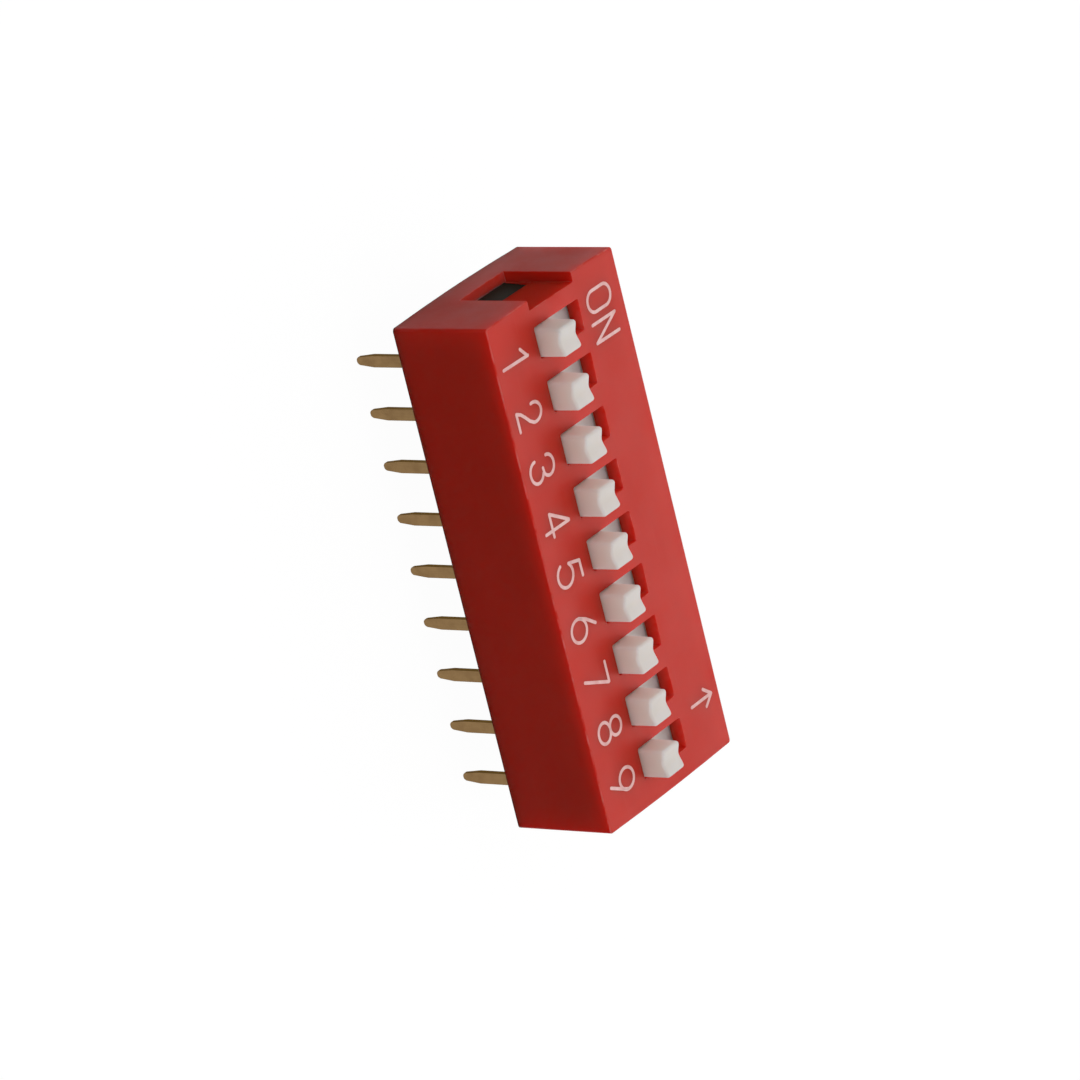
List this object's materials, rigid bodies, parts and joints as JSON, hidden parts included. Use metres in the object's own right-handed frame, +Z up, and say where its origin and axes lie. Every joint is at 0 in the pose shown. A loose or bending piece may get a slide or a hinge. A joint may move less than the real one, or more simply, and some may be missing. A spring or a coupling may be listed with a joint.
{
  "type": "dip switch",
  "caption": "Slide switch block for a circuit board: a row of small raised sliders in a moulded cover, over two rows of flat through-hole pins.",
  "frame": {"origin": "middle of the body's underside, in the plane that seats on the circuit board", "axes": "+X runs along the row of sliders from position 1 to the last; +Y is the ON side, the way each slider moves from off to on; +Z points up out of the top face, away from the board"},
  "size_m": [0.0244, 0.0098, 0.0099],
  "materials": {
    "red_cover": "fine moulded satin",
    "black_base": "fine moulded matt",
    "white_slider": "satin, slightly translucent",
    "contact_spring": "gold plated",
    "terminal_plating": "stamped and plated",
    "print_ink": "thin pad-printed ink"
  },
  "bodies": {
    "housing": {"cover": "red_cover", "base": "black_base", "terminal_1": "terminal_plating", "terminal_2": "terminal_plating", "terminal_3": "terminal_plating", "terminal_4": "terminal_plating", "terminal_5": "terminal_plating", "terminal_6": "terminal_plating", "terminal_7": "terminal_plating", "terminal_8": "terminal_plating", "terminal_9": "terminal_plating", "terminal_10": "terminal_plating", "terminal_11": "terminal_plating", "terminal_12": "terminal_plating", "terminal_13": "terminal_plating", "terminal_14": "terminal_plating", "terminal_15": "terminal_plating", "terminal_16": "terminal_plating", "terminal_17": "terminal_plating", "terminal_18": "terminal_plating"},
    "switch_1": {"slider_1": "white_slider", "contact_1": "contact_spring"},
    "switch_2": {"slider_2": "white_slider", "contact_2": "contact_spring"},
    "switch_3": {"slider_3": "white_slider", "contact_3": "contact_spring"},
    "switch_4": {"slider_4": "white_slider", "contact_4": "contact_spring"},
    "switch_5": {"slider_5": "white_slider", "contact_5": "contact_spring"},
    "switch_6": {"slider_6": "white_slider", "contact_6": "contact_spring"},
    "switch_7": {"slider_7": "white_slider", "contact_7": "contact_spring"},
    "switch_8": {"slider_8": "white_slider", "contact_8": "contact_spring"},
    "switch_9": {"slider_9": "white_slider", "contact_9": "contact_spring"}
  },
  "joints": [
    {"name": "switch_1_slide", "type": "slide", "parent": "housing", "child": "switch_1", "axis": [0, 1, 0], "range_m": [0, 0.002]},
    {"name": "switch_2_slide", "type": "slide", "parent": "housing", "child": "switch_2", "axis": [0, 1, 0], "range_m": [0, 0.002]},
    {"name": "switch_3_slide", "type": "slide", "parent": "housing", "child": "switch_3", "axis": [0, 1, 0], "range_m": [0, 0.002]},
    {"name": "switch_4_slide", "type": "slide", "parent": "housing", "child": "switch_4", "axis": [0, 1, 0], "range_m": [0, 0.002]},
    {"name": "switch_5_slide", "type": "slide", "parent": "housing", "child": "switch_5", "axis": [0, 1, 0], "range_m": [0, 0.002]},
    {"name": "switch_6_slide", "type": "slide", "parent": "housing", "child": "switch_6", "axis": [0, 1, 0], "range_m": [0, 0.002]},
    {"name": "switch_7_slide", "type": "slide", "parent": "housing", "child": "switch_7", "axis": [0, 1, 0], "range_m": [0, 0.002]},
    {"name": "switch_8_slide", "type": "slide", "parent": "housing", "child": "switch_8", "axis": [0, 1, 0], "range_m": [0, 0.002]},
    {"name": "switch_9_slide", "type": "slide", "parent": "housing", "child": "switch_9", "axis": [0, 1, 0], "range_m": [0, 0.002]}
  ]
}
